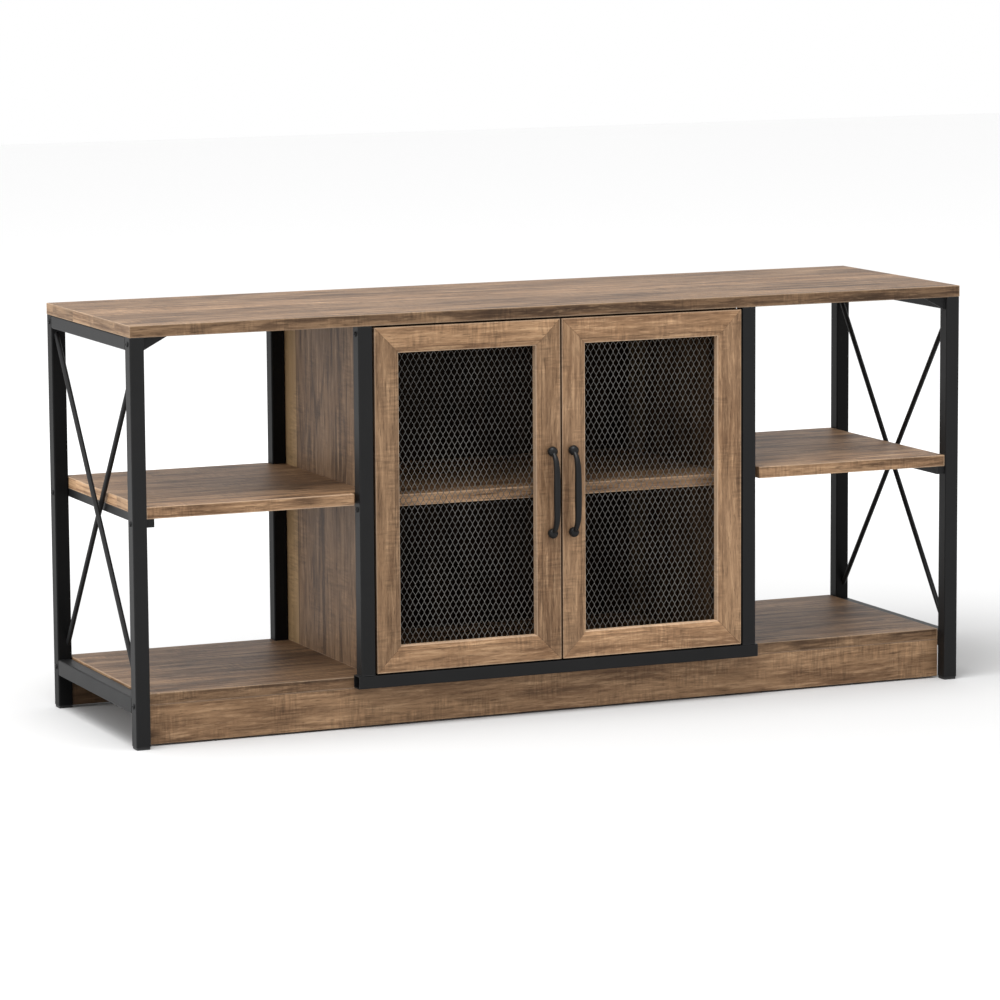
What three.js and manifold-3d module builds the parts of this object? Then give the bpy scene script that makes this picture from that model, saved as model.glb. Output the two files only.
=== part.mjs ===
// A low television stand: a black steel frame with wood boards, open bays at both ends
// and a two-door cabinet with expanded-metal door panels in the middle.
// Millimetres, +Z up, +X to the right, the doors face -Y. The origin is on the floor under
// the centre of the whole object, handles included.
import * as THREE from "three";
import { mergeVertices } from "three/addons/utils/BufferGeometryUtils.js";
import Module from "manifold-3d";

const wasm = await Module();
wasm.setup();

// ---- Overall sizes ----
const overallWidth = 1400;
const overallDepth = 400;
const overallHeight = 640;

// ---- Clearances ----
const fit = 0.3;
const toolOverrun = 1;
const doorSideGap = 3;
const doorMeetingGap = 3;
const doorTopGap = 3;
const doorBottomGap = 2.5;

// ---- Boards ----
const topThickness = 18;
const deckThickness = 18;
const shelfThickness = 18;
const plinthThickness = 18;
const sidePanelThickness = 15;
const backPanelThickness = 6;
const boardChamfer = 0.6;
const deckTop = 81;
const plinthFloorGap = 3;
const stretcherWidth = 18;
const stretcherHeight = 17;
const shelfTop = 367;
const shelfSetBack = 4;
const shelfNotchClearance = 8;
const innerShelfTop = 357;
const innerShelfSetBack = 30;
const panelRearInset = 3;

// ---- Steel tube ----
const tubeSide = 23;
const tubeWall = 1.5;
const tubeCorner = 2;
const topRailHeight = 20;
const bottomRailHeight = 25;
const bottomRailTop = 78;
const shelfRailSide = 12.5;
const shelfRailInset = 1;
const cabinetInset = 364;
const cabinetRailHeight = 20;
const cabinetRailRise = 1.5;
const cabinetRailOverrun = 4;

// ---- Brace rods ----
const rodDiameter = 8;
const rodCentreGap = 9;
const rodOuterInset = 8.5;
const rodBottomHeight = 106.5;
const rodTopDrop = 50;
const rodSides = 16;

// ---- Gussets ----
const gussetWidth = 38;
const gussetHeight = 20;
const gussetThickness = 2;
const gussetSetBack = 6;

// ---- Foot glides ----
const glideHeight = 4;
const glideInset = 0.8;
const glideStemHeight = 12;

// ---- Doors ----
const doorThickness = 18;
const memberWidth = 40;
const doorBevelWidth = 8;
const doorBevelDepth = 3;
const meshThickness = 1.2;
const rebateDepth = 3;
const rebateWidth = 6;

// ---- Handles ----
const handleCentres = 128;
const handleHeight = 350;
const handleEdgeDistance = 16.3;
const knobDiameter = 15;
const knobStandOff = 6.5;
const handleArch = 17;
const handleArchPower = 6;
const gripEndRadius = 3.5;
const gripMidRadius = 5.5;

// ---- Hinges ----
const hingeEndDistance = 75;
const cupDiameter = 26;
const cupDepth = 10;
const cupWall = 1;
const cupEdgeDistance = 17;
const cupFlangeDiameter = 30;
const cupFlangeThickness = 1;
const cupSides = 24;
const armHeight = 14;
const armClearance = 2.5;
const armReach = 11;
const armStemWidth = 6;
const armStemLength = 10;
const armNeckLength = 40;
const armHeelLength = 50;
const armHeelInset = 4.5;
const armPlateSetBack = 14;
const armPlateLength = 46;
const armPlateThickness = 2.5;

// ---- Magnetic catch ----
const catchWidth = 48;
const catchHeight = 14;
const catchDepth = 18;
const catchClearance = 2;
const strikeWidth = 16;
const strikeHeight = 12;
const strikeThickness = 1.2;
const strikeTopDrop = 3;
const strikeInset = 4;

// ---- Derived positions ----
const halfWidth = overallWidth / 2;
const handleReach = knobStandOff + handleArch + gripMidRadius;
const frontY = -(overallDepth + handleReach) / 2 + handleReach;
const rearY = frontY + overallDepth;
const topUnderside = overallHeight - topThickness;
const frameInner = halfWidth - tubeSide - fit;
const deckUnderside = deckTop - deckThickness;
const deckFront = frontY + tubeSide + fit;
const shelfUnderside = shelfTop - shelfThickness;
const postOuter = halfWidth - cabinetInset;
const postInner = postOuter - tubeSide;
const panelInner = postInner - sidePanelThickness;
const panelRear = rearY - panelRearInset;
const standTop = topUnderside - fit;
const standBottom = deckTop + fit;
const cabinetRailTop = deckUnderside + cabinetRailRise + cabinetRailHeight;
const doorBottom = cabinetRailTop + doorBottomGap;
const doorTop = topUnderside - doorTopGap;
const doorOuter = postInner - doorSideGap;
const doorInner = doorMeetingGap / 2;
const doorBack = frontY + doorThickness;
const cupX = doorOuter - cupEdgeDistance;

// ---- Materials ----
const colours = {
  wood_top: 0x967d64,
  wood_deck: 0x87765f,
  wood_side: 0x7d6a58,
  wood_door: 0xa5876b,
  wood_dark: 0x4a3c30,
  black_metal: 0x2b2b2d,
  mesh_metal: 0x4c4c4e,
  black_plastic: 0x141415,
  bright_steel: 0xb0b2b5,
};

function material(colour, roughness, metalness) {
  return new THREE.MeshStandardMaterial({ color: colours[colour], roughness, metalness });
}

const wood = (colour) => material(colour, 0.6, 0);
const paintedSteel = () => material("black_metal", 0.42, 0.6);
const meshSteel = () => material("mesh_metal", 0.45, 0.7);
const plastic = () => material("black_plastic", 0.55, 0);
const brightSteel = () => material("bright_steel", 0.28, 1);

// ---- Axes: which way an outline is pushed out ----
const X = new THREE.Vector3(1, 0, 0);
const Y = new THREE.Vector3(0, 1, 0);
const Z = new THREE.Vector3(0, 0, 1);

// An outline drawn in plan (x, y), in the side view (y, z) or in the front view (x, z),
// pushed out along the third axis from one coordinate to another.
const outlinePlanes = {
  plan: { basis: [X, Y, Z], sign: 1 },
  side: { basis: [Y, Z, X], sign: 1 },
  front: { basis: [X, Z, Y.clone().negate()], sign: -1 },
};

function prism(plane, shape, from, to, chamfer = 0) {
  const { basis, sign } = outlinePlanes[plane];
  const geometry = new THREE.ExtrudeGeometry(shape, {
    depth: to - from - 2 * chamfer,
    curveSegments: 4,
    bevelEnabled: chamfer > 0,
    bevelThickness: chamfer,
    bevelSize: chamfer,
    bevelOffset: -chamfer,
    bevelSegments: 1,
  });
  geometry.translate(0, 0, (sign > 0 ? from : -to) + chamfer);
  return geometry.applyMatrix4(new THREE.Matrix4().makeBasis(...basis));
}

function polygon(points) {
  return new THREE.Shape(points.map(([u, v]) => new THREE.Vector2(u, v)));
}

function rectanglePoints(u0, v0, u1, v1) {
  return [[u0, v0], [u1, v0], [u1, v1], [u0, v1]];
}

// A rectangle with rounded corners, three points to a corner.
function roundedPoints(u0, v0, u1, v1, radius) {
  const centres = [[u1 - radius, v0 + radius], [u1 - radius, v1 - radius],
    [u0 + radius, v1 - radius], [u0 + radius, v0 + radius]];
  const points = [];
  centres.forEach(([cu, cv], corner) => {
    for (let step = 0; step <= 2; step += 1) {
      const angle = (corner - 1) * Math.PI / 2 + step * Math.PI / 4;
      points.push([cu + radius * Math.cos(angle), cv + radius * Math.sin(angle)]);
    }
  });
  return points;
}

function box(lo, hi) {
  const size = hi.map((value, i) => value - lo[i]);
  const centre = hi.map((value, i) => (value + lo[i]) / 2);
  return new THREE.BoxGeometry(...size).translate(...centre);
}

// A board with a fine chamfer on its long edges and corners.
function board(lo, hi) {
  const outline = polygon(rectanglePoints(lo[0], lo[1], hi[0], hi[1]));
  return prism("plan", outline, lo[2], hi[2], boardChamfer);
}

// The outline axes and the run axis of a tube, by the direction it runs in.
const tubeRuns = { x: ["side", 1, 2, 0], y: ["front", 0, 2, 1], z: ["plan", 0, 1, 2] };

// A steel tube that fills the block between two corners, open at both ends.
function tube(run, lo, hi) {
  const [plane, u, v, w] = tubeRuns[run];
  const shape = polygon(roundedPoints(lo[u], lo[v], hi[u], hi[v], tubeCorner));
  const hole = rectanglePoints(lo[u] + tubeWall, lo[v] + tubeWall, hi[u] - tubeWall, hi[v] - tubeWall);
  shape.holes.push(new THREE.Path(hole.map(([a, b]) => new THREE.Vector2(a, b))));
  return prism(plane, shape, lo[w], hi[w]);
}

// ---- Booleans ----
function toSolid(geometry) {
  const bare = geometry.clone();
  bare.deleteAttribute("normal");
  bare.deleteAttribute("uv");
  const merged = mergeVertices(bare, 1e-4);
  return new wasm.Manifold(new wasm.Mesh({
    numProp: 3,
    vertProperties: new Float32Array(merged.attributes.position.array),
    triVerts: new Uint32Array(merged.index.array),
  }));
}

function toGeometry(solid) {
  const mesh = solid.getMesh();
  const geometry = new THREE.BufferGeometry();
  geometry.setAttribute("position", new THREE.BufferAttribute(new Float32Array(mesh.vertProperties), 3));
  geometry.setIndex(new THREE.BufferAttribute(new Uint32Array(mesh.triVerts), 1));
  geometry.computeVertexNormals();
  return geometry;
}

const joined = (...parts) => toGeometry(parts.map(toSolid).reduce((a, b) => a.add(b)));
const cut = (body, ...tools) => toGeometry(tools.map(toSolid).reduce((a, b) => a.subtract(b), toSolid(body)));
const common = (a, b) => toGeometry(toSolid(a).intersect(toSolid(b)));

// Corner points ordered so that a pair of opposite corners may be given either way round.
function span(a, b) {
  return [Math.min(a, b), Math.max(a, b)];
}

// A block on one side of the centre plane: side is -1 for left and 1 for right, and the
// x distances are measured outwards from the centre plane.
function sided(make, side, inner, outer, y0, y1, z0, z1) {
  const [x0, x1] = span(side * inner, side * outer);
  return make([x0, y0, z0], [x1, y1, z1]);
}

const object = new THREE.Group();
object.name = "tv_stand_with_doors";

function add(name, geometry, surface) {
  const mesh = new THREE.Mesh(geometry, surface);
  mesh.name = name;
  object.add(mesh);
}

const sides = [["left", -1], ["right", 1]];
const ends = [["front", frontY, frontY + tubeSide], ["rear", rearY - tubeSide, rearY]];

// ---- Top board ----
function addTopBoard() {
  const lo = [-halfWidth, frontY, topUnderside];
  add("top_board", board(lo, [halfWidth, rearY, overallHeight]), wood("wood_top"));
}

// ---- End frames ----
function addEndPost(endName, y0, y1, sideName, side) {
  const upright = (lo, hi) => tube("z", lo, hi);
  const post = sided(upright, side, halfWidth - tubeSide, halfWidth, y0, y1, glideHeight, standTop);
  add(`${endName}_${sideName}_post`, post, paintedSteel());
}

// A plastic foot under an end post, with a square stem pushed up into the tube.
function addFootGlide(endName, y0, y1, sideName, side) {
  const [x0, x1] = span(side * (halfWidth - tubeSide), side * halfWidth);
  const pad = roundedPoints(x0 + glideInset, y0 + glideInset, x1 - glideInset, y1 - glideInset, tubeCorner);
  const inset = tubeWall + fit;
  const stem = box([x0 + inset, y0 + inset, glideHeight / 2], [x1 - inset, y1 - inset, glideStemHeight]);
  const foot = prism("plan", polygon(pad), 0, glideHeight - fit, boardChamfer);
  add(`${endName}_${sideName}_foot_glide`, joined(foot, stem), plastic());
}

function addEndRails(sideName, side) {
  const along = (lo, hi) => tube("y", lo, hi);
  const y0 = frontY + tubeSide + fit;
  const y1 = rearY - tubeSide - fit;
  const inner = halfWidth - tubeSide;
  const top = sided(along, side, inner, halfWidth, y0, y1, standTop - topRailHeight, standTop);
  add(`${sideName}_top_rail`, top, paintedSteel());
  const bottom = sided(along, side, inner, halfWidth, y0, y1, bottomRailTop - bottomRailHeight,
    bottomRailTop);
  add(`${sideName}_bottom_rail`, bottom, paintedSteel());
}

// The square bar on the inner faces of the end posts that carries a side shelf.
function addShelfRail(sideName, side) {
  const z1 = shelfUnderside - fit;
  const y0 = frontY + shelfSetBack + shelfRailInset;
  const y1 = rearY - shelfSetBack - shelfRailInset;
  const bar = sided(box, side, frameInner - shelfRailSide, frameInner, y0, y1, z1 - shelfRailSide, z1);
  add(`${sideName}_shelf_rail`, bar, paintedSteel());
}

// A round rod from one post's inner face to the other's, cut flush with both faces.
function braceRod(x, frontZ, backZ) {
  const y0 = frontY + tubeSide + fit;
  const y1 = rearY - tubeSide - fit;
  const start = new THREE.Vector3(x, y0, frontZ);
  const end = new THREE.Vector3(x, y1, backZ);
  const direction = end.clone().sub(start);
  const length = direction.length() + 4 * rodDiameter;
  const rod = new THREE.CylinderGeometry(rodDiameter / 2, rodDiameter / 2, length, rodSides);
  rod.applyQuaternion(new THREE.Quaternion().setFromUnitVectors(Y, direction.normalize()));
  rod.translate(x, (y0 + y1) / 2, (frontZ + backZ) / 2);
  return common(rod, box([x - rodDiameter, y0, 0], [x + rodDiameter, y1, overallHeight]));
}

// Each end frame has two crossed rods, one outside the other. The right frame is the left
// one turned half a turn, so its outer rod slopes the other way.
function addBraces(sideName, side) {
  const low = rodBottomHeight;
  const high = overallHeight - rodTopDrop;
  const outerX = side * (halfWidth - rodOuterInset);
  const innerX = side * (halfWidth - rodOuterInset - rodCentreGap);
  const [outerFront, outerBack] = side < 0 ? [low, high] : [high, low];
  add(`${sideName}_outer_brace_rod`, braceRod(outerX, outerFront, outerBack), paintedSteel());
  add(`${sideName}_inner_brace_rod`, braceRod(innerX, outerBack, outerFront), paintedSteel());
}

// A triangular plate in the angle between a front post and the top board.
function addGusset(sideName, side) {
  const x = side * frameInner;
  const outline = polygon([[x, standTop], [x - side * gussetWidth, standTop], [x, standTop - gussetHeight]]);
  const y0 = frontY + gussetSetBack;
  add(`${sideName}_gusset`, prism("front", outline, y0, y0 + gussetThickness), paintedSteel());
}

// ---- Base ----
function addBase() {
  const x = frameInner;
  const under = deckUnderside - fit;
  const y1 = deckFront + plinthThickness;
  const y2 = rearY - plinthThickness;
  add("deck_board", board([-x, deckFront, deckUnderside], [x, rearY, deckTop]), wood("wood_deck"));
  add("front_plinth", board([-x, deckFront, plinthFloorGap], [x, y1, under]), wood("wood_side"));
  add("rear_plinth", board([-x, y2, plinthFloorGap], [x, rearY, under]), wood("wood_side"));
}

// A wood bar under the deck that screws it to an end frame's bottom rail.
function addDeckStretcher(sideName, side) {
  const y0 = deckFront + plinthThickness + fit;
  const y1 = rearY - plinthThickness - fit;
  const z1 = deckUnderside - fit;
  const bar = sided(board, side, frameInner - stretcherWidth, frameInner, y0, y1, z1 - stretcherHeight, z1);
  add(`${sideName}_deck_stretcher`, bar, wood("wood_side"));
}

// ---- Cabinet carcass ----
function addCabinetPosts(sideName, side) {
  const upright = (lo, hi) => tube("z", lo, hi);
  const front = sided(upright, side, postInner, postOuter, frontY, frontY + tubeSide, cabinetRailTop + fit, standTop);
  add(`front_${sideName}_cabinet_post`, front, paintedSteel());
  const rear = sided(upright, side, postInner, postOuter, rearY - tubeSide, rearY, standBottom, standTop);
  add(`rear_${sideName}_cabinet_post`, rear, paintedSteel());
}

function addCabinetRail() {
  const x = postOuter + cabinetRailOverrun;
  const lo = [-x, frontY, cabinetRailTop - cabinetRailHeight];
  const hi = [x, frontY + tubeSide, cabinetRailTop];
  add("cabinet_front_rail", tube("x", lo, hi), paintedSteel());
}

function addCabinetPanels(sideName, side) {
  const outer = postInner - fit;
  const panel = sided(board, side, panelInner, outer, deckFront, panelRear, standBottom, standTop);
  add(`${sideName}_cabinet_side`, panel, wood("wood_side"));
}

function addCabinetInterior() {
  const x = panelInner - fit;
  const backFront = panelRear - backPanelThickness;
  const back = board([-x, backFront, standBottom], [x, panelRear, standTop]);
  add("cabinet_back_panel", back, wood("wood_dark"));
  const y0 = frontY + innerShelfSetBack;
  const shelf = board([-x, y0, innerShelfTop - shelfThickness], [x, backFront - fit, innerShelfTop]);
  add("cabinet_shelf", shelf, wood("wood_deck"));
}

// ---- Side shelves ----
// The shelf is notched round both cabinet posts, with more room at the front one.
function addSideShelf(sideName, side) {
  const outer = side * frameInner;
  const inner = side * (postInner + fit);
  const frontNotch = side * (postOuter + shelfNotchClearance);
  const rearNotch = side * (postOuter + fit);
  const y0 = frontY + shelfSetBack;
  const outline = polygon([
    [outer, y0],
    [frontNotch, y0],
    [frontNotch, frontY + tubeSide + fit],
    [inner, frontY + tubeSide + fit],
    [inner, rearY - tubeSide - fit],
    [rearNotch, rearY - tubeSide - fit],
    [rearNotch, rearY],
    [outer, rearY],
  ]);
  const shelf = prism("plan", outline, shelfUnderside, shelfTop, boardChamfer);
  add(`${sideName}_shelf`, shelf, wood("wood_deck"));
}

// ---- Doors ----
const hingeHeights = [doorBottom + hingeEndDistance, doorTop - hingeEndDistance];
const openingInner = doorInner + memberWidth;
const openingOuter = doorOuter - memberWidth;
const openingBottom = doorBottom + memberWidth;
const openingTop = doorTop - memberWidth;

// The step behind the inner edges of the door frame that the metal mesh lies in.
function meshSpace(side, clearance, y0, y1) {
  const reach = rebateWidth - clearance;
  return sided(box, side, openingInner - reach, openingOuter + reach, y0, y1,
    openingBottom - reach, openingTop + reach);
}

// A blind round hole in the back of a hinge stile for a hinge cup.
function cupBore(side, z) {
  const depth = cupDepth + fit;
  const radius = cupDiameter / 2 + fit;
  const bore = new THREE.CylinderGeometry(radius, radius, depth + toolOverrun, cupSides);
  return bore.translate(side * cupX, doorBack + (toolOverrun - depth) / 2, z);
}

// The wedge that slopes a member's inner front edge, drawn across the member: its width runs
// from the opening's edge into the member, its depth runs back from the front face.
function bevelOutline(edge, inward) {
  const overrun = 0.25;
  const wide = edge + inward * doorBevelWidth * (1 + overrun);
  const narrow = edge - inward * doorBevelWidth * overrun;
  const near = frontY - doorBevelDepth * overrun;
  const deep = frontY + doorBevelDepth * (1 + overrun);
  return [[wide, near], [narrow, near], [narrow, deep]];
}

function stileBevel(side, edge, inward) {
  const outline = bevelOutline(edge, inward).map(([x, y]) => [side * x, y]);
  return prism("plan", polygon(outline), doorBottom, doorTop);
}

function railBevel(side, edge, inward) {
  const outline = bevelOutline(edge, inward).map(([z, y]) => [y, z]);
  const ends = [side * doorInner, side * doorOuter];
  return prism("side", polygon(outline), Math.min(...ends), Math.max(...ends));
}

// The four members of a door are mitred, with the mitre joint's gap shared between them.
function doorMember(side, corners, bevel, bores) {
  const outline = polygon(corners.map(([x, z]) => [side * x, z]));
  const blank = prism("front", outline, frontY, doorBack);
  const rebate = meshSpace(side, 0, doorBack - rebateDepth, doorBack + toolOverrun);
  return cut(blank, rebate, bevel, ...bores);
}

function addDoorFrame(sideName, side) {
  const gap = fit / Math.SQRT2;
  const hingeStile = [[doorOuter, doorBottom + gap], [doorOuter, doorTop - gap],
    [openingOuter, openingTop - gap], [openingOuter, openingBottom + gap]];
  const meetingStile = [[doorInner, doorBottom + gap], [doorInner, doorTop - gap],
    [openingInner, openingTop - gap], [openingInner, openingBottom + gap]];
  const topRail = [[doorInner + gap, doorTop], [doorOuter - gap, doorTop],
    [openingOuter - gap, openingTop], [openingInner + gap, openingTop]];
  const bottomRail = [[doorInner + gap, doorBottom], [doorOuter - gap, doorBottom],
    [openingOuter - gap, openingBottom], [openingInner + gap, openingBottom]];
  const bores = hingeHeights.map((z) => cupBore(side, z));
  const members = [
    ["hinge_stile", hingeStile, stileBevel(side, openingOuter, 1), bores],
    ["meeting_stile", meetingStile, stileBevel(side, openingInner, -1), []],
    ["top_rail", topRail, railBevel(side, openingTop, 1), []],
    ["bottom_rail", bottomRail, railBevel(side, openingBottom, -1), []],
  ];
  members.forEach(([name, corners, bevel, memberBores]) => {
    add(`${sideName}_door_${name}`, doorMember(side, corners, bevel, memberBores), wood("wood_door"));
  });
}

// The expanded-metal panel, as a plain sheet that fills the outline of its diamonds.
function addDoorMesh(sideName, side) {
  const y0 = doorBack - rebateDepth + fit;
  add(`${sideName}_door_mesh`, meshSpace(side, fit, y0, y0 + meshThickness), meshSteel());
}

// ---- Handles ----
// A straight spindle turned about its length, thicker in the middle, then bent so that it rises
// steeply from both ends and runs nearly straight between: bow = arch * (1 - t ** power), where
// t is 0 at mid length and 1 at either end.
function handleGrip() {
  const steps = 18;
  const half = handleCentres / 2;
  const profile = [];
  for (let step = 0; step <= steps; step += 1) {
    const along = -half + handleCentres * step / steps;
    const swell = Math.cos(along / handleCentres * Math.PI);
    profile.push(new THREE.Vector2(gripEndRadius + (gripMidRadius - gripEndRadius) * swell, along));
  }
  const closed = [new THREE.Vector2(0, -half), ...profile, new THREE.Vector2(0, half)];
  const spindle = new THREE.LatheGeometry(closed, 12);
  const position = spindle.attributes.position;
  for (let i = 0; i < position.count; i += 1) {
    const t = position.getY(i) / half;
    const bow = handleArch * (1 - t ** handleArchPower);
    const slope = handleArch * handleArchPower * t ** (handleArchPower - 1) / half;
    const offset = position.getZ(i) / Math.hypot(1, slope);
    position.setXYZ(i, position.getX(i), -bow - offset, half * t + slope * offset);
  }
  return spindle;
}

function knob(z) {
  const ball = new THREE.SphereGeometry(knobDiameter / 2, 14, 10).translate(0, 0, z);
  const keep = knobStandOff - fit;
  const reach = knobDiameter;
  return common(ball, box([-reach, -reach, z - reach], [reach, keep, z + reach]));
}

function addHandle(sideName, side) {
  const half = handleCentres / 2;
  const handle = joined(handleGrip(), knob(-half), knob(half));
  handle.translate(side * (doorInner + handleEdgeDistance), frontY - knobStandOff, handleHeight);
  add(`${sideName}_door_handle`, handle, paintedSteel());
}

// ---- Hinges ----
// A round cup let into the back of the door, open to the back, with a thin flange.
function hingeCup() {
  const outer = cupDiameter / 2;
  const inner = outer - cupWall;
  const flange = cupFlangeDiameter / 2;
  const profile = [[0, 0], [outer, 0], [outer, cupDepth + fit], [flange, cupDepth + fit],
    [flange, cupDepth + fit + cupFlangeThickness], [inner, cupDepth + fit + cupFlangeThickness],
    [inner, cupWall], [0, cupWall]];
  return new THREE.LatheGeometry(profile.map(([r, h]) => new THREE.Vector2(r, h)), cupSides);
}

// The arm is a bent plate screwed to the inside of the cabinet's side panel.
function hingeArm(side, z) {
  const wall = panelInner - fit;
  const front = doorBack + armClearance;
  const plateEnd = front + armPlateSetBack + armPlateLength;
  const stemInner = wall - armReach;
  const stemOuter = stemInner + armStemWidth;
  const points = [[wall, front + armPlateSetBack], [wall, plateEnd], [wall - armPlateThickness, plateEnd],
    [wall - armHeelInset, front + armHeelLength], [stemInner, front + armNeckLength],
    [stemInner, front], [stemOuter, front], [stemOuter, front + armStemLength]];
  const outline = polygon(points.map(([x, y]) => [side * x, y]));
  return prism("plan", outline, z - armHeight / 2, z + armHeight / 2);
}

function addHinges(sideName, side) {
  hingeHeights.forEach((z, index) => {
    const level = index === 0 ? "lower" : "upper";
    const cup = hingeCup().translate(side * cupX, doorBack - cupDepth, z);
    add(`${sideName}_${level}_hinge_cup`, cup, brightSteel());
    add(`${sideName}_${level}_hinge_arm`, hingeArm(side, z), brightSteel());
  });
}

// ---- Magnetic catch ----
function addCatch() {
  const y0 = doorBack + catchClearance;
  const body = box([-catchWidth / 2, y0, standTop - catchHeight], [catchWidth / 2, y0 + catchDepth, standTop]);
  add("magnetic_catch", body, plastic());
}

function addStrikePlate(sideName, side) {
  const inner = doorInner + strikeInset;
  const z1 = doorTop - strikeTopDrop;
  const y0 = doorBack + fit;
  const plate = sided(box, side, inner, inner + strikeWidth, y0, y0 + strikeThickness, z1 - strikeHeight, z1);
  add(`${sideName}_strike_plate`, plate, brightSteel());
}

addTopBoard();
sides.forEach(([sideName, side]) => {
  ends.forEach(([endName, y0, y1]) => {
    addEndPost(endName, y0, y1, sideName, side);
    addFootGlide(endName, y0, y1, sideName, side);
  });
  addEndRails(sideName, side);
  addShelfRail(sideName, side);
  addBraces(sideName, side);
  addGusset(sideName, side);
  addDeckStretcher(sideName, side);
  addCabinetPosts(sideName, side);
  addCabinetPanels(sideName, side);
  addSideShelf(sideName, side);
  addDoorFrame(sideName, side);
  addDoorMesh(sideName, side);
  addHandle(sideName, side);
  addHinges(sideName, side);
  addStrikePlate(sideName, side);
});
addBase();
addCabinetRail();
addCabinetInterior();
addCatch();

export default object;
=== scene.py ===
"""Looks of a low television stand: black square-tube frame, rustic wood boards and a
middle cabinet with two expanded-metal doors. Metres, +Z up, the doors face -Y."""

import math

import bpy
import numpy as np
from mathutils import Matrix, Vector


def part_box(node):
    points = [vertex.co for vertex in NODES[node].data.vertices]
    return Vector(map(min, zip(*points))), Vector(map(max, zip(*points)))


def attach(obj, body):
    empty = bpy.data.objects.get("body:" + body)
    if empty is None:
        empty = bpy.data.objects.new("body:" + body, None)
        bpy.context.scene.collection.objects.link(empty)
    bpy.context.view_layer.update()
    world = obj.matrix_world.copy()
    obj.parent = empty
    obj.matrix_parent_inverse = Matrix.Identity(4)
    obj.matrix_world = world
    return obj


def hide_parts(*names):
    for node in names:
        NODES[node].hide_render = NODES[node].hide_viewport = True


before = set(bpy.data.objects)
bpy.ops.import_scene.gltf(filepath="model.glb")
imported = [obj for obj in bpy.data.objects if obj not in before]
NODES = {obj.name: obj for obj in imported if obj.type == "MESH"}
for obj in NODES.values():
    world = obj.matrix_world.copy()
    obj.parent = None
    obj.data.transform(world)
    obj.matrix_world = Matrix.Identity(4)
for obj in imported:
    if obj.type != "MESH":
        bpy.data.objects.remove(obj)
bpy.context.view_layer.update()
X, Y, Z = 0, 1, 2

# ---------------------------------------------------------------- camera and light

# The camera's place in metres, its three directions, and its lens in millimetres.
CAMERA_PLACE = (-2.8341, -6.5085, 1.3212)
CAMERA_RIGHT = (0.91769, -0.39723, -0.00658)
CAMERA_UP = (0.06183, 0.12646, 0.99004)
CAMERA_BACK = (-0.39245, -0.90896, 0.14061)
CAMERA_LENS = 162.547
SENSOR_WIDTH = 36.0
CAMERA_REACH = 60.0


def make_camera():
    data = bpy.data.cameras.new("camera")
    data.sensor_width = SENSOR_WIDTH
    data.lens = CAMERA_LENS
    data.clip_end = CAMERA_REACH
    cam = bpy.data.objects.new("camera", data)
    bpy.context.collection.objects.link(cam)
    turn = Matrix((CAMERA_RIGHT, CAMERA_UP, CAMERA_BACK)).transposed()
    cam.matrix_world = Matrix.Translation(CAMERA_PLACE) @ turn.to_4x4()
    bpy.context.scene.camera = cam


def area_light(name, place, aim, size, power):
    data = bpy.data.lights.new(name, "AREA")
    data.shape = "RECTANGLE"
    data.size, data.size_y = size
    data.energy = power
    lamp = bpy.data.objects.new(name, data)
    lamp.location = place
    direction = Vector(aim) - Vector(place)
    lamp.rotation_mode = "QUATERNION"
    lamp.rotation_quaternion = direction.to_track_quat("-Z", "Y")
    bpy.context.collection.objects.link(lamp)


def make_lights():
    area_light("key_light", place=(-1.15, -0.8, 4.2), aim=(0.0, 0.0, 0.3), size=(3.0, 3.0),
               power=250.0)
    area_light("side_light", place=(-4.2, 0.2, 1.2), aim=(-0.7, 0.0, 0.3), size=(1.4, 1.4),
               power=60.0)
    world = bpy.data.worlds.new("studio")
    world.use_nodes = True
    sky = world.node_tree.nodes["Background"]
    sky.inputs["Color"].default_value = (1.0, 1.0, 1.0, 1.0)
    sky.inputs["Strength"].default_value = 1.0
    bpy.context.scene.world = world
    bpy.context.scene.view_settings.view_transform = "Standard"


make_camera()
make_lights()

# ---------------------------------------------------------------- shader writing


class Sock:
    """A shader socket that can be used in ordinary arithmetic."""

    def __init__(self, graph, socket):
        self.graph = graph
        self.socket = socket

    def _maths(self, operation, *others):
        return self.graph.node("ShaderNodeMath", {"operation": operation}, [self, *others])

    def __add__(self, other):
        return self._maths("ADD", other)

    def __sub__(self, other):
        return self._maths("SUBTRACT", other)

    def __mul__(self, other):
        return self._maths("MULTIPLY", other)

    def __truediv__(self, other):
        return self._maths("DIVIDE", other)

    def __radd__(self, other):
        return self.graph.maths("ADD", other, self)

    def __rsub__(self, other):
        return self.graph.maths("SUBTRACT", other, self)

    def __rmul__(self, other):
        return self.graph.maths("MULTIPLY", other, self)

    def __pow__(self, other):
        return self._maths("POWER", other)

    def abs(self):
        return self._maths("ABSOLUTE")

    def floor(self):
        return self._maths("FLOOR")

    def fract(self):
        return self._maths("FRACT")

    def sin(self):
        return self._maths("SINE")

    def low(self, other):
        return self._maths("MINIMUM", other)

    def high(self, other):
        return self._maths("MAXIMUM", other)

    def clamp(self):
        return self.low(1.0).high(0.0)

    def step(self, start, end):
        """0 at start and 1 at end, smooth between; start may be the larger."""
        t = ((self - start) / (end - start)).clamp()
        return t * t * (3.0 - 2.0 * t)


# A mix node's colour sockets by their places, because its other sockets share their names.
MIX_A = 6
MIX_B = 7
MIX_RESULT = 2


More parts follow.
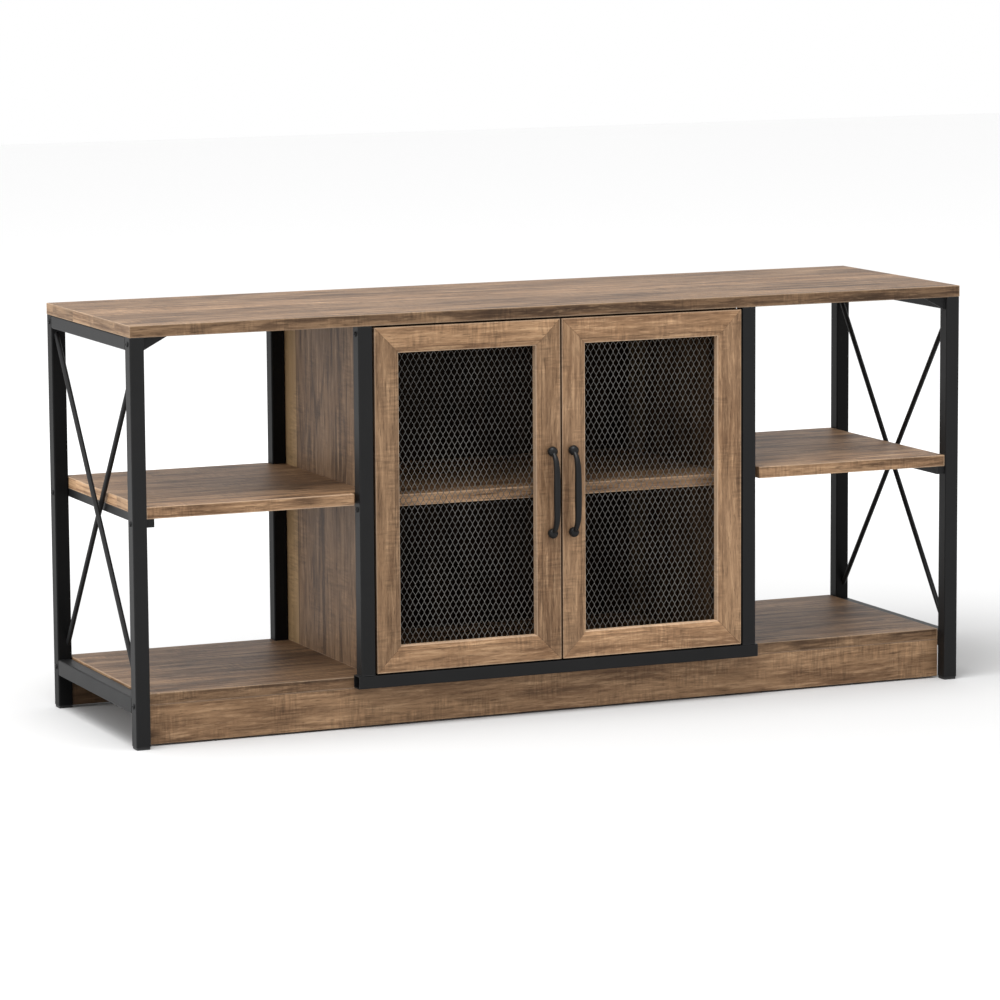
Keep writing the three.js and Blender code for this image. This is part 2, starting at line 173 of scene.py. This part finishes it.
class Graph:
    """One material's node tree."""

    def __init__(self, name):
        self.material = bpy.data.materials.new(name)
        self.material.use_nodes = True
        self.tree = self.material.node_tree
        self.tree.nodes.clear()
        self.output = self.tree.nodes.new("ShaderNodeOutputMaterial")

    def put(self, socket, value):
        if isinstance(value, Sock):
            self.tree.links.new(value.socket, socket)
        elif isinstance(value, (tuple, list)) and len(value) == 3 and socket.type == "RGBA":
            socket.default_value = (*value, 1.0)
        else:
            socket.default_value = value

    def node(self, kind, settings=None, values=(), out=0):
        """Adds a node: settings are its own, values go to its inputs by place or by name."""
        made = self.tree.nodes.new(kind)
        for key, value in (settings or {}).items():
            setattr(made, key, value)
        pairs = values.items() if isinstance(values, dict) else enumerate(values)
        for key, value in pairs:
            self.put(made.inputs[key], value)
        return Sock(self, made.outputs[out])

    def maths(self, operation, *values):
        return self.node("ShaderNodeMath", {"operation": operation}, values)

    def vector(self, x, y, z):
        return self.node("ShaderNodeCombineXYZ", None, [x, y, z])

    def place(self):
        """The three coordinates in the object's own metres."""
        coordinates = self.node("ShaderNodeTexCoord", out="Object")
        split = self.node("ShaderNodeSeparateXYZ", None, [coordinates])
        return [Sock(self, output) for output in split.socket.node.outputs]

    def noise(self, vector, scale, detail=3.0, rough=0.55, twist=0.0):
        return self.node("ShaderNodeTexNoise", {"noise_dimensions": "3D"},
                         {"Vector": vector, "Scale": scale, "Detail": detail,
                          "Roughness": rough, "Distortion": twist}, out="Fac")

    def spots(self, vector, scale):
        return self.node("ShaderNodeTexVoronoi", {"voronoi_dimensions": "3D"},
                         {"Vector": vector, "Scale": scale, "Randomness": 1.0}, out="Distance")

    def mix(self, factor, a, b):
        """Colour a where the factor is 0 and colour b where it is 1."""
        return self.node("ShaderNodeMix", {"data_type": "RGBA"},
                         {"Factor": factor, MIX_A: a, MIX_B: b}, out=MIX_RESULT)

    def bump(self, height, distance, strength):
        return self.node("ShaderNodeBump", None,
                         {"Height": height, "Distance": distance, "Strength": strength})

    def surface(self, colour, roughness, metallic=0.0, normal=None, specular=0.5):
        values = {"Base Color": colour, "Roughness": roughness, "Metallic": metallic,
                  "Specular IOR Level": specular}
        if normal is not None:
            values["Normal"] = normal
        shader = self.node("ShaderNodeBsdfPrincipled", None, values)
        self.tree.links.new(shader.socket, self.output.inputs["Surface"])
        return self.material


def edge_mask(graph, place, box, width, noise):
    """1 along the edges of a block, where two of its faces meet, and 0 elsewhere."""
    low, high = box
    near = []
    for i in range(3):
        distance = (place[i] - float(low[i])).low(float(high[i]) - place[i])
        near.append((distance + (noise - 0.5) * width).step(width, 0.0))
    return (near[0] + near[1] + near[2] - 1.0).clamp()


# ---------------------------------------------------------------- wood

WOOD_DARK = (0.037, 0.019, 0.0093)
WOOD_BROWN = (0.0970, 0.0520, 0.0262)
WOOD_TAN = (0.1680, 0.0985, 0.0520)
WOOD_GREY = (0.1452, 0.0912, 0.0534)
WOOD_PALE = (0.2400, 0.1510, 0.0850)

WOOD_EDGE = (0.29, 0.205, 0.138)
WOOD_STRIP = (0.235, 0.155, 0.075)
WOOD_SHINE = 0.18
# The back panel's low shine keeps it dark along with its painted shade inside the cabinet.
BACK_SHINE = 0.04

# Fields of the grain: how fast each changes along the grain and across it, per metre.
WANDER_GRAIN = (2.0, 5.0)
RING_GRAIN = (0.9, 13.0)
BAND_GRAIN = (3.2, 30.0)
STREAK_GRAIN = (11.0, 140.0)
FIBRE_GRAIN = (34.0, 400.0)
PORE_GRAIN = (38.0, 900.0)
PATCH_GRAIN = (4.0, 12.0)
KNOT_GRAIN = (4.2, 13.0)
SAW_GRAIN = (260.0, 34.0)
SAWN_GRAIN = (16.0, 24.0)
BANDING_GRAIN = (8.0, 190.0)

# How far the grain wanders, in metres, and how closely its rings follow each other.
WANDER_SIDE = 0.034
WANDER_DEEP = 0.024
RING_PACE = 44.0

# Where a board's pattern starts, and the printed planks: a start that keeps their count above
# zero, a stagger from board to board, and how far the pattern jumps from plank to plank.
SEED_SHIFT = 3.7
PLANK_START = 11.0
PLANK_STAGGER = 0.013
PLANK_SHIFT = 9.0

# Distances in metres over which a line or an edge fades.
STRIP_START = (0.0, 0.0015)
STRIP_SEAM = (0.0028, 0.0006)
# Door member lip: painted highlight at the opening, painted shade at the bevel and outer edge.
LIP_HIGHLIGHT = (0.0018, 0.0006)
BEVEL_SHADE_LINE = (0.0012, 0.0002)
GAP_SHADE_LINE = (0.0006, 0.0003)
END_BAND = (0.0008, 0.0005)
# The width of the lighter wood edges: worn, and a painted highlight on the arrises.
WOOD_WEAR_AND_HIGHLIGHT = 0.0022
WOOD_RELIEF = 0.0004

# The light strip at the rear of a cabinet side, and the width of the bevel on a door member,
# at whose edge a painted shade line is drawn.
PANEL_STRIP = 0.070
BEVEL_WIDTH = 0.008


def wood(name, along, box, tone, grey, seed, edge, calm, plank=0.0, strip=None, lip=None,
         end_band=False, shine=WOOD_SHINE):
    """Rustic oak-print board. Everything is stretched along the grain: wide bands, rings that
    wander into arches, middling and fine streaks, pores and knots. Saw marks cross it.

    along is the grain's axis, edge is how strongly the edges are lightened, where they are worn
    and as a painted highlight on the arrises, calm how quiet the grain is and plank the width of the
    printed planks. strip is the place in y where a lighter strip starts, and lip is the axis across
    a door member, its opening's edge and its outer edge, along which painted highlight and shade go."""
    g = Graph(name)
    place = g.place()
    run = place[along]
    across = [place[i] for i in range(3) if i != along]
    shift = SEED_SHIFT * seed
    loud = 1.0 - calm
    if plank:
        planks = (place[Y] + PLANK_START + PLANK_STAGGER * seed) / plank
        board = g.node("ShaderNodeTexWhiteNoise", {"noise_dimensions": "1D"},
                       {"W": planks.floor() + seed}, out="Value")
        shift = board * PLANK_SHIFT + shift

    def stretched(field, first, second):
        length, width = field
        return g.vector(run * length + shift, first * width, second * width)

    def crossing(field):
        length, width = field
        return g.vector(run * length, across[0] * width + shift, across[1] * width)

    wander = g.noise(stretched(WANDER_GRAIN, *across), 1.0, 2.0) - 0.5
    side = across[0] + wander * WANDER_SIDE
    deep = across[1] + wander * WANDER_DEEP

    def grain(field, detail, rough=0.6, twist=0.0):
        return g.noise(stretched(field, side, deep), 1.0, detail, rough, twist)

    rings = (grain(RING_GRAIN, 3.0, 0.5, 0.6) * RING_PACE).sin() * 0.5 + 0.5
    bands = grain(BAND_GRAIN, 4.0, 0.65)
    streaks = grain(STREAK_GRAIN, 4.0, 0.7)
    fibres = grain(FIBRE_GRAIN, 3.0, 0.75)
    pores = grain(PORE_GRAIN, 2.0)
    patches = g.noise(stretched(PATCH_GRAIN, *across), 1.0, 4.0)
    knots = g.spots(stretched(KNOT_GRAIN, side, deep), 1.0)
    halo = knots.step(0.40, 0.10)
    saw = g.noise(crossing(SAW_GRAIN), 1.0, 3.0, 0.6)
    sawn = g.noise(crossing(SAWN_GRAIN), 1.0, 2.0)

    colour = g.mix(bands.step(0.34, 0.66), WOOD_BROWN, WOOD_TAN)
    marks = (
        (patches.step(0.38, 0.68) * grey * 1.5, WOOD_GREY),
        (streaks.step(0.50, 0.70) * 0.85, WOOD_PALE),
        (streaks.step(0.50, 0.30) * min(0.35 + 0.35 * loud, 0.95), WOOD_DARK),
        (rings.step(0.35, 0.0) * bands.step(0.62, 0.40) * (0.65 * loud), WOOD_DARK),
        (fibres.step(0.52, 0.70) * 0.50, WOOD_PALE),
        (fibres.step(0.46, 0.30) * 0.65, WOOD_DARK),
        (pores.step(0.38, 0.26) * 0.6, WOOD_DARK),
        (halo * streaks.step(0.62, 0.40) * (0.55 * loud), WOOD_DARK),
        (knots.step(0.15, 0.02) * 0.85, WOOD_DARK),
    )
    for mask, tint in marks:
        colour = g.mix(mask, colour, tint)
    scratch = (saw - 0.5) * sawn.step(0.42, 0.62)
    cloudy = patches * (0.20 + 0.30 * loud) + 0.9 - 0.15 * loud
    strength = cloudy * (scratch * 1.5 + 1.0) * tone
    if plank:
        strength = strength * (board * 0.34 + 0.83)
        groove = (planks.fract() - 0.5).abs().step(0.488, 0.499)
        colour = g.mix(groove * 0.6, colour, WOOD_DARK)
    if strip is not None:
        beyond = (place[Y] - strip).step(*STRIP_START)
        colour = g.mix(beyond * 0.65, colour, WOOD_STRIP)
        strength = strength * (beyond * 0.12 + 1.0)
        line = (place[Y] - strip).abs().step(*STRIP_SEAM)
        colour = g.mix(line * 0.8, colour, WOOD_DARK)
    # Painted highlight along the opening; painted shade at the bevel's edge and in the gap round the
    # door.
    if lip is not None:
        axis, opening, rim = lip
        inward = (place[axis] - opening).abs()
        bevel_shade = (inward - BEVEL_WIDTH).abs().step(*BEVEL_SHADE_LINE)
        gap_shade = (place[axis] - rim).abs().step(*GAP_SHADE_LINE)
        colour = g.mix(inward.step(*LIP_HIGHLIGHT) * 0.6, colour, WOOD_EDGE)
        colour = g.mix(bevel_shade * 0.45, colour, WOOD_DARK)
        colour = g.mix(gap_shade * 0.85, colour, WOOD_DARK)
    if end_band:
        near_end = (run - float(box[0][along])).low(float(box[1][along]) - run)
        long, short = across
        length, width = BANDING_GRAIN
        banding = g.noise(g.vector(long * length + shift, short * width, shift), 1.0, 4.0, 0.7)
        banded = g.mix(banding.step(0.36, 0.64), WOOD_BROWN, WOOD_PALE)
        colour = g.mix(near_end.step(*END_BAND), colour, banded)
    # The edges are lightened where worn, and as a painted highlight along the arrises.
    edge_band = edge_mask(g, place, box, WOOD_WEAR_AND_HIGHLIGHT, patches)
    colour = g.mix(edge_band * edge, colour, WOOD_EDGE)
    level = g.vector(strength, strength, strength)
    colour = g.node("ShaderNodeVectorMath", {"operation": "MULTIPLY"}, [colour, level])
    relief = fibres * 0.7 + streaks * 0.6 + saw * 0.35 - pores.step(0.4, 0.26) * 0.5
    roughness = 0.48 + fibres * 0.18 - streaks * 0.12
    normal = g.bump(relief, WOOD_RELIEF, 0.6)
    return g.surface(colour, roughness, 0.0, normal, shine)


# ---------------------------------------------------------------- metals and plastic

PAINT_BLACK = (0.0065, 0.0065, 0.0067)
# The rear frame parts' black is darker and shines less: painted shade for the back of the stand.
PAINT_REAR_SHADED = (0.0030, 0.0030, 0.0031)
PAINT_DUST = (0.045, 0.044, 0.043)
PAINT_WORN = (0.055, 0.055, 0.057)
PAINT_SHINE = 0.18
REAR_SHINE = 0.10
PAINT_WEAR = 0.0011
BOLT_BLACK = (0.012, 0.012, 0.0125)
PLASTIC_BLACK = (0.012, 0.012, 0.0125)
MESH_DARK = (0.070, 0.067, 0.063)
MESH_GREY = (0.15, 0.145, 0.136)
MESH_WORN = (0.34, 0.33, 0.31)
MESH_PITS = (0.05, 0.048, 0.045)
NICKEL = (0.52, 0.52, 0.53)
NICKEL_WARM = (0.66, 0.65, 0.63)


def powder_coat(name, box, seed, base=PAINT_BLACK, rough=0.40, shine=PAINT_SHINE):
    """Matt black paint on steel: fine orange peel, faint dust, and edges rubbed lighter where
    a box is given."""
    g = Graph(name)
    place = g.place()
    point = g.vector(place[0] + seed, place[1], place[2])
    peel = g.noise(point, 1100.0, 2.0)
    cloud = g.noise(point, 14.0, 4.0, 0.6)
    scuff = g.noise(g.vector(place[0] * 60.0 + seed, place[1] * 60.0, place[2] * 9.0), 1.0, 5.0, 0.7)
    colour = g.mix(cloud.step(0.35, 0.75) * 0.5, base, tuple(1.5 * c for c in base))
    colour = g.mix(scuff.step(0.66, 0.82) * 0.35, colour, PAINT_DUST)
    if box is not None:
        edge_band = edge_mask(g, place, box, PAINT_WEAR, cloud)
        colour = g.mix(edge_band * 0.5, colour, PAINT_WORN)
    roughness = rough + cloud * 0.10 + peel * 0.05
    normal = g.bump(peel + scuff * 0.3, 0.00006, 0.5)
    return g.surface(colour, roughness, 0.0, normal, shine)


def mesh_paint(name):
    """Dark grey lacquer on expanded steel, worn lighter in fine specks, with darker pits."""
    g = Graph(name)
    place = g.place()
    point = g.vector(*place)
    cloud = g.noise(point, 9.0, 4.0, 0.6)
    speck = g.noise(point, 420.0, 3.0, 0.6)
    colour = g.mix(cloud.step(0.3, 0.7), MESH_DARK, MESH_GREY)
    colour = g.mix(speck.step(0.58, 0.72) * 0.5, colour, MESH_WORN)
    colour = g.mix(speck.step(0.42, 0.30) * 0.6, colour, MESH_PITS)
    return g.surface(colour, 0.36 + cloud * 0.16, 0.35, g.bump(speck, 0.0001, 0.5), 0.3)


def plain_plastic(name):
    """Moulded black plastic with a fine grained skin."""
    g = Graph(name)
    point = g.vector(*g.place())
    grain = g.noise(point, 1400.0, 2.0)
    cloud = g.noise(point, 22.0, 3.0)
    colour = g.mix(cloud.step(0.3, 0.7), PLASTIC_BLACK, tuple(1.8 * c for c in PLASTIC_BLACK))
    return g.surface(colour, 0.50 + cloud * 0.14, 0.0, g.bump(grain, 0.00008, 0.6), 0.45)


def nickel(name):
    """Bright plated steel with brushed lines and slight tarnish."""
    g = Graph(name)
    place = g.place()
    cloud = g.noise(g.vector(*place), 40.0, 3.0)
    brushed = g.noise(g.vector(place[0] * 300.0, place[1] * 300.0, place[2] * 4000.0), 1.0, 2.0)
    colour = g.mix(cloud.step(0.3, 0.7), NICKEL, NICKEL_WARM)
    return g.surface(colour, 0.22 + brushed * 0.14, 1.0, g.bump(brushed, 0.00003, 0.4))


# ---------------------------------------------------------------- materials on the CAD nodes


def dress(node, material):
    slots = NODES[node].material_slots
    for slot in slots:
        slot.material = material
    if not slots:
        NODES[node].data.materials.append(material)


BOARD_CALM = -0.3
BOARD_EDGE = 0.7
BOARD_SEED = 1.3
CALM = {"front_plinth": 0.5, "rear_plinth": 0.5, "cabinet_back_panel": 0.0,
        "left_cabinet_side": -0.2, "right_cabinet_side": -0.2}
EDGE = {"front_plinth": 0.2, "rear_plinth": 0.2, "cabinet_back_panel": 0.0}
END_BANDED = ("top_board", "deck_board", "left_shelf", "right_shelf")

# Boards: grain axis, lightness, how grey, and the width of the printed planks, 0 for none.
WOOD_RUNS = {
    "top_board": (X, 1.07, 0.30, 0.1),
    "deck_board": (X, 1.30, 0.35, 0.0935),
    "left_shelf": (X, 1.66, 0.32, 0.1),
    "right_shelf": (X, 2.05, 0.28, 0.1),
    "cabinet_shelf": (X, 1.6, 0.4, 0.0),
    "front_plinth": (X, 1.52, 0.15, 0.0),
    # Painted shade: the rear plinth is darker for the shade at the back of the stand.
    "rear_plinth": (X, 0.7, 0.3, 0.0),
    "left_deck_stretcher": (Y, 0.7, 0.3, 0.0),
    "right_deck_stretcher": (Y, 0.7, 0.3, 0.0),
    "left_cabinet_side": (Z, 1.06, 0.38, 0.0),
    # Painted shade: the right side and the back panel are darker for the shade inside the cabinet.
    "right_cabinet_side": (Z, 0.55, 0.5, 0.0),
    "cabinet_back_panel": (Z, 0.12, 0.2, 0.0),
}

DOOR_CALM = 0.6
DOOR_EDGE = 0.45
DOOR_GREY = 0.30
DOOR_SEED = 20.7

# Door members: grain axis, lightness, the axis that crosses the member, and which end of the
# member's box on that axis is the opening's edge.
DOOR_RUNS = {
    "left_door_hinge_stile": (Z, 1.33, X, 1),
    "left_door_meeting_stile": (Z, 1.45, X, 0),
    "left_door_top_rail": (X, 1.82, Z, 0),
    "left_door_bottom_rail": (X, 1.90, Z, 1),
    "right_door_hinge_stile": (Z, 1.78, X, 0),
    "right_door_meeting_stile": (Z, 1.62, X, 1),
    "right_door_top_rail": (X, 1.95, Z, 0),
    "right_door_bottom_rail": (X, 2.3, Z, 1),
}


def dress_wood():
    for index, (node, (along, tone, grey, plank)) in enumerate(WOOD_RUNS.items()):
        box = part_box(node)
        strip = box[1][Y] - PANEL_STRIP if node.endswith("cabinet_side") else None
        shine = BACK_SHINE if node == "cabinet_back_panel" else WOOD_SHINE
        material = wood(f"wood_{node}", along, box, tone, grey, index + BOARD_SEED,
                        EDGE.get(node, BOARD_EDGE), CALM.get(node, BOARD_CALM), plank=plank,
                        strip=strip, end_band=node in END_BANDED, shine=shine)
        dress(node, material)
    for index, (node, (along, tone, axis, opening_side)) in enumerate(DOOR_RUNS.items()):
        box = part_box(node)
        lip = (axis, float(box[opening_side][axis]), float(box[1 - opening_side][axis]))
        material = wood(f"wood_{node}", along, box, tone, DOOR_GREY, DOOR_SEED + index,
                        DOOR_EDGE, DOOR_CALM, lip=lip)
        dress(node, material)


def dress_metal():
    tubes = ("post", "rail", "rod", "gusset")
    for seed, node in enumerate(sorted(NODES)):
        if "door" in node or node in WOOD_RUNS or not any(word in node for word in tubes):
            continue
        rear = node.startswith("rear_")
        # Rear frame parts take the darker black and lower shine, a painted shade.
        base = PAINT_REAR_SHADED if rear else PAINT_BLACK
        shine = REAR_SHINE if rear else PAINT_SHINE
        dress(node, powder_coat(f"paint_{node}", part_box(node), 0.37 * seed, base, shine=shine))
    black = plain_plastic("foot_plastic")
    bright = nickel("hinge_nickel")
    for node in NODES:
        if "glide" in node or node == "magnetic_catch":
            dress(node, black)
        if "hinge_cup" in node or "hinge_arm" in node or "strike" in node:
            dress(node, bright)


dress_wood()
dress_metal()

# ---------------------------------------------------------------- surfaces from numpy


def mesh_object(name, points, faces, material, smooth=True):
    data = bpy.data.meshes.new(name)
    data.from_pydata(np.asarray(points, float).tolist(), [], faces)
    data.polygons.foreach_set("use_smooth", np.full(len(data.polygons), smooth))
    data.materials.append(material)
    data.update()
    made = bpy.data.objects.new(name, data)
    bpy.context.collection.objects.link(made)
    return made


def grid_faces(rows, columns, start=0):
    """Quads of a grid of points, rows by columns, joined round each row."""
    i, j = np.meshgrid(np.arange(rows - 1), np.arange(columns), indexing="ij")
    k = (j + 1) % columns
    below = i * columns
    above = below + columns
    quads = np.stack([below + j, below + k, above + k, above + j], -1)
    return quads.reshape(-1, 4) + start


def capped_faces(rows, columns):
    """The quads of a wrapped grid, with a face over its first row and one over its last."""
    faces = grid_faces(rows, columns).tolist()
    faces.append(list(range(columns))[::-1])
    faces.append(list(range((rows - 1) * columns, rows * columns)))
    return faces


# The expanded metal: each strand runs up the door in a zigzag between two columns of
# bonds. Neighbouring strands lie side by side at a bond, so a bond is two strands wide.
CELL_WIDTH = 0.0096
CELL_HEIGHT = 0.0176
BOND_LENGTH = 0.0030
STRAND_WIDTH = 0.00062
STRAND_THICKNESS = 0.0006
STRAND_TILT = math.radians(24.0)
# The least slant that a strand's width is corrected for, so that a steep bend stays narrow.
SLANT_LIMIT = 0.72
TINY = 1e-9


def expanded_metal(side):
    """Strand k follows x = k*w/2 + s/2 at its left bonds and (k+1)*w/2 - s/2 at its right
    bonds, which alternate every half cell of height; the section is a tilted rectangle."""
    node = f"{side}_door_mesh"
    low, high = (np.array(corner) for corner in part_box(node))
    half = CELL_WIDTH / 2
    strands = int((high[0] - low[0]) / half)
    levels = int((high[2] - low[2]) / (CELL_HEIGHT / 2)) + 1
    left_edge = low[0] + (high[0] - low[0] - strands * half) / 2
    k = np.arange(strands)[:, None, None]
    level = np.arange(levels)[None, :, None]
    end = np.array([-0.5, 0.5])[None, None, :]
    at_right = (k + level) % 2
    x = left_edge + k * half + STRAND_WIDTH / 2 + at_right * (half - STRAND_WIDTH)
    z = np.clip(low[2] + level * CELL_HEIGHT / 2 + end * BOND_LENGTH, low[2], high[2])
    x, z = (values.reshape(strands, -1) for values in np.broadcast_arrays(x, z))
    dx, dz = np.gradient(x, axis=1), np.gradient(z, axis=1)
    length = np.hypot(dx, dz) + TINY
    nx, nz = dz / length, -dx / length
    stretch = 1.0 / np.maximum(np.abs(nx), SLANT_LIMIT)
    corners = np.array([[-1, -1], [1, -1], [1, 1], [-1, 1]]) / 2
    middle = (low[1] + high[1]) / 2
    rings = []
    for u, v in corners:
        wide = u * STRAND_WIDTH
        thick = v * STRAND_THICKNESS
        flat = wide * math.cos(STRAND_TILT) * stretch - thick * math.sin(STRAND_TILT)
        depth = wide * math.sin(STRAND_TILT) + thick * math.cos(STRAND_TILT)
        rings.append(np.stack([x + nx * flat, np.full_like(x, middle) + depth, z + nz * flat], -1))
    points = np.stack(rings, 2)
    rows = points.shape[1]
    faces = []
    for strand in range(strands):
        start = strand * rows * 4
        faces.append(grid_faces(rows, 4, start))
        faces.append(np.array([[start + 3, start + 2, start + 1, start]]))
        last = start + (rows - 1) * 4
        faces.append(np.array([[last, last + 1, last + 2, last + 3]]))
    made = mesh_object(f"{side}_door_expanded_metal", points.reshape(-1, 3),
                       np.concatenate(faces).tolist(), mesh_paint(f"mesh_paint_{side}"),
                       smooth=False)
    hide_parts(node)
    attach(made, f"{side}_door")


# The handle: two balls on the door joined by a bar that bows outwards.
HANDLE_HALF = 0.064
HANDLE_ARCH = 0.017
BALL_RADIUS = 0.0080
BALL_STAND_OFF = 0.0065
GRIP_END_RADIUS = 0.0035
GRIP_MIDDLE_RADIUS = 0.0055
GRIP_SWELL = 0.8
GRIP_RINGS = 65
ARCH_POWER = 6
HANDLE_SIDES = 28
# The ball's rings run from a small hole at its pole, which a face closes, to its foot, which is
# wider than its neck and stays just clear of the door.
BALL_RINGS = 20
BALL_POLE = 0.02
FOOT_GAP = 0.0003
FOOT_SPREAD = 1.25


def lathe_points(profile, columns):
    """Each (radius, height) of the profile becomes a ring of points round +Z."""
    profile = np.asarray(profile)
    angle = np.linspace(0, 2 * np.pi, columns, endpoint=False)
    ring = np.stack([np.cos(angle), np.sin(angle)], -1)
    radial = profile[:, 0, None, None] * ring[None]
    height = np.broadcast_to(profile[:, 1, None, None], (*radial.shape[:2], 1))
    return np.concatenate([radial, height], -1)


def closed_lathe(profile, columns):
    """A lathe surface whose first and last rings close to a face."""
    points = lathe_points(profile, columns)
    return points.reshape(-1, 3), capped_faces(points.shape[0], columns)


def join_parts(parts):
    points, faces, start = [], [], 0
    for part_points, part_faces in parts:
        points.append(part_points)
        faces += [[index + start for index in face] for face in part_faces]
        start += len(part_points)
    return np.concatenate(points), faces


def handle(side, material):
    """The grip is a spindle, r = end + (middle - end)*cos(pi*t/2)^swell, bent so that its axis
    bows by arch*(1 - t^power) from the line between the balls, t running from -1 to 1."""
    along = np.sin(np.linspace(-1, 1, GRIP_RINGS) * np.pi / 2)
    swell = np.maximum(np.cos(np.pi / 2 * along), 0.0) ** GRIP_SWELL
    radius = GRIP_END_RADIUS + (GRIP_MIDDLE_RADIUS - GRIP_END_RADIUS) * swell
    spindle, faces = closed_lathe(np.stack([radius, along], -1), HANDLE_SIDES)
    t = spindle[:, 2]
    slope = ARCH_POWER * HANDLE_ARCH * t ** (ARCH_POWER - 1) / HANDLE_HALF
    offset = -spindle[:, 1] / np.hypot(1, slope)
    bow = HANDLE_ARCH * (1 - t ** ARCH_POWER)
    grip = np.stack([spindle[:, 0], -bow - offset, HANDLE_HALF * t + slope * offset], -1)
    faces = [face[::-1] for face in faces]
    parts = [(grip, faces)]
    neck = math.acos(-(BALL_STAND_OFF - FOOT_GAP) / BALL_RADIUS)
    polar = np.linspace(BALL_POLE, neck, BALL_RINGS)
    ball = np.stack([np.sin(polar), np.cos(polar)], -1) * BALL_RADIUS
    foot = [[BALL_RADIUS * math.sin(polar[-1]) * FOOT_SPREAD, ball[-1, 1]]]
    ball_points, ball_faces = closed_lathe(np.concatenate([ball, foot])[::-1], HANDLE_SIDES)
    turned = np.stack([ball_points[:, 0], -ball_points[:, 2], ball_points[:, 1]], -1)
    for level in (-HANDLE_HALF, HANDLE_HALF):
        parts.append((turned + np.array([0, 0, level]), ball_faces))
    low, high = (np.array(corner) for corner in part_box(f"{side}_door_handle"))
    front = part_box(f"{side}_door_meeting_stile")[0][1]
    centre = np.array([(low[0] + high[0]) / 2, front - BALL_STAND_OFF, (low[2] + high[2]) / 2])
    points, faces = join_parts(parts)
    made = mesh_object(f"{side}_bow_handle", points + centre, faces, material)
    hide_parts(f"{side}_door_handle")
    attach(made, f"{side}_door")


# Button-head bolts: a dome with a six-sided socket.
BOLT_RADIUS = 0.0042
BOLT_HEIGHT = 0.0021
BOLT_SIDES = 36
DOME_RINGS = 8
DOME_TURN = 1.02
SOCKET_RADIUS = 0.0019
SOCKET_RIM = 1.1
SOCKET_LIP = 0.94
SOCKET_FLOOR = 0.35
POST_BOLT_DROP = 0.012
SHELF_BOLT_DROP = 0.008
SIDES = (("left", -1.0), ("right", 1.0))


def bolt_head():
    """Up the dome the radius falls as cos(DOME_TURN*t) and the height rises as sin(pi*t/2).
    Inside the socket the rings are hexagons r = s*cos(30)/cos((angle mod 60) - 30) that drop
    to a flat floor. SOCKET_LIP and SOCKET_FLOOR are shares of the head's height."""
    angle = np.linspace(0, 2 * np.pi, BOLT_SIDES, endpoint=False)
    hexagon = math.cos(math.pi / 6) / np.cos(np.mod(angle, math.pi / 3) - math.pi / 6)
    rings = []
    for t in np.linspace(0, 1, DOME_RINGS):
        radius = BOLT_RADIUS * math.cos(t * DOME_TURN)
        rings.append((radius * np.ones(BOLT_SIDES), BOLT_HEIGHT * math.sin(t * math.pi / 2)))
    rings.append((SOCKET_RADIUS * hexagon * SOCKET_RIM, BOLT_HEIGHT))
    rings.append((SOCKET_RADIUS * hexagon, BOLT_HEIGHT * SOCKET_LIP))
    rings.append((SOCKET_RADIUS * hexagon, BOLT_HEIGHT * SOCKET_FLOOR))
    points = []
    for radius, height in rings:
        level = np.full(BOLT_SIDES, height)
        points.append(np.stack([radius * np.cos(angle), radius * np.sin(angle), level], -1))
    return np.concatenate(points), capped_faces(len(rings), BOLT_SIDES)


def bolts(name, body, places, material):
    """Copies of the bolt head, each turned so that its axis points along a side."""
    head, faces = bolt_head()
    parts = []
    for place, facing in places:
        turn = Vector(facing).to_track_quat("Z", "Y").to_matrix()
        parts.append((head @ np.array(turn).T + np.array(place), faces))
    points, all_faces = join_parts(parts)
    made = mesh_object(name, points, all_faces, material)
    made.modifiers.new("edges", "WEIGHTED_NORMAL")
    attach(made, body)


def frame_bolts(material):
    places = []
    for side, facing in SIDES:
        low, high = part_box(f"front_{side}_post")
        rear_low, rear_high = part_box(f"rear_{side}_post")
        x = low[0] if side == "left" else high[0]
        for rail_name in ("top_rail", "shelf_rail", "bottom_rail"):
            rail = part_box(f"{side}_{rail_name}")
            z = (rail[0][2] + rail[1][2]) / 2
            for y in ((low[1] + high[1]) / 2, (rear_low[1] + rear_high[1]) / 2):
                places.append(((x, y, z), (facing, 0.0, 0.0)))
    for side, facing in SIDES:
        for end in ("front", "rear"):
            low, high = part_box(f"{end}_{side}_cabinet_post")
            x = low[0] if side == "left" else high[0]
            y = (low[1] + high[1]) / 2
            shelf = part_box(f"{side}_shelf")
            for z in (high[2] - POST_BOLT_DROP, shelf[0][2] - SHELF_BOLT_DROP):
                places.append(((x, y, z), (facing, 0.0, 0.0)))
    bolts("frame_bolt_heads", "frame", places, material)


for door_side in ("left", "right"):
    expanded_metal(door_side)
    handle(door_side, powder_coat(f"handle_paint_{door_side}", None, 3.0, rough=0.30))
frame_bolts(powder_coat("bolt_paint", None, 5.0, base=BOLT_BLACK))

# ---------------------------------------------------------------- floor


FLOOR_HALF = 14.0
FLOOR_FADE = (0.8, 3.2)
# The floor's colour near the stand, a painted shade that deepens the soft shadow there.
FLOOR_PAINTED_SHADE = (0.515, 0.515, 0.515)
FLOOR_FAR = (0.95, 0.95, 0.95)


def make_floor():
    """A plain floor whose colour is painted darker round the stand's feet: painted shade."""
    points = [(-FLOOR_HALF, -FLOOR_HALF, 0), (FLOOR_HALF, -FLOOR_HALF, 0),
              (FLOOR_HALF, FLOOR_HALF, 0), (-FLOOR_HALF, FLOOR_HALF, 0)]
    g = Graph("floor")
    place = g.place()
    away = (place[0] * place[0] + place[1] * place[1]) ** 0.5
    colour = g.mix(away.step(*FLOOR_FADE), FLOOR_PAINTED_SHADE, FLOOR_FAR)
    floor = mesh_object("studio_floor", points, [[0, 1, 2, 3]], g.surface(colour, 0.9), False)


make_floor()
